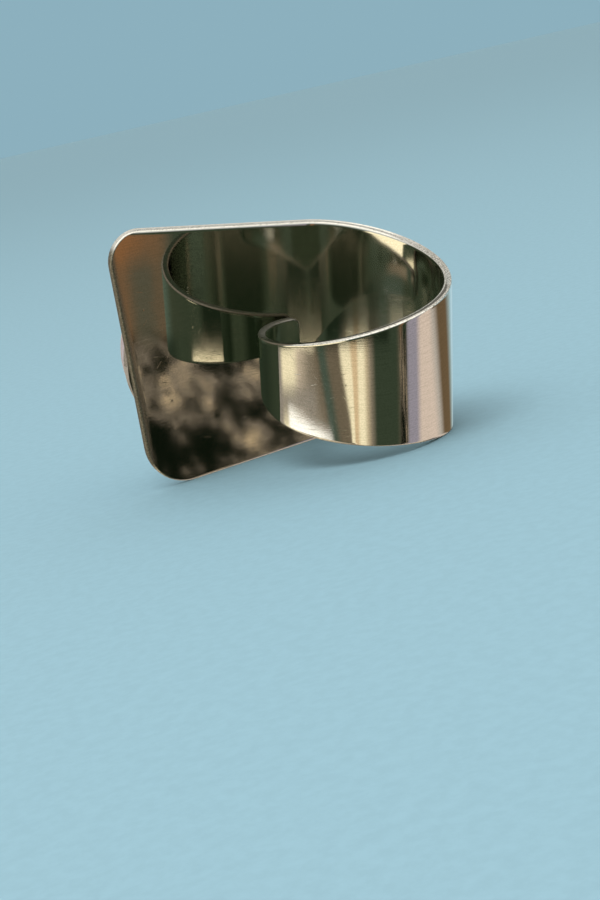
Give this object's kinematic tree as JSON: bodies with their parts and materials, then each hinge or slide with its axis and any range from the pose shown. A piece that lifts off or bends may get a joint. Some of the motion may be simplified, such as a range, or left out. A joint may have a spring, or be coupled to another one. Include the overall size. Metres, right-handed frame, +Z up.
{
  "type": "moonstone ring",
  "caption": "Sheet-metal finger ring: a wide flat plate curls into a tapering band round the finger, with a round domed moonstone in a low bezel on the plate's outside.",
  "frame": {"origin": "centre of the ring's bounding box, on the surface it rests on", "axes": "+Z up with the ring resting by itself on its plate's lower edge and the loop's lower edge, +X along the plate towards the first bend, +Y out of the plate on the stone's side; the finger's axis leans about 18 degrees from +Z towards -Y"},
  "size_m": [0.03, 0.0278, 0.0255],
  "materials": {
    "polished_metal": "mirror-polished steel with fine hairlines, small scratches and softened bright edges",
    "moonstone": "polished milky cabochon, pinkish white with a soft bluish sheen under the dome"
  },
  "bodies": {
    "root": {"ring_band": "polished_metal", "moonstone": "moonstone"}
  },
  "joints": []
}
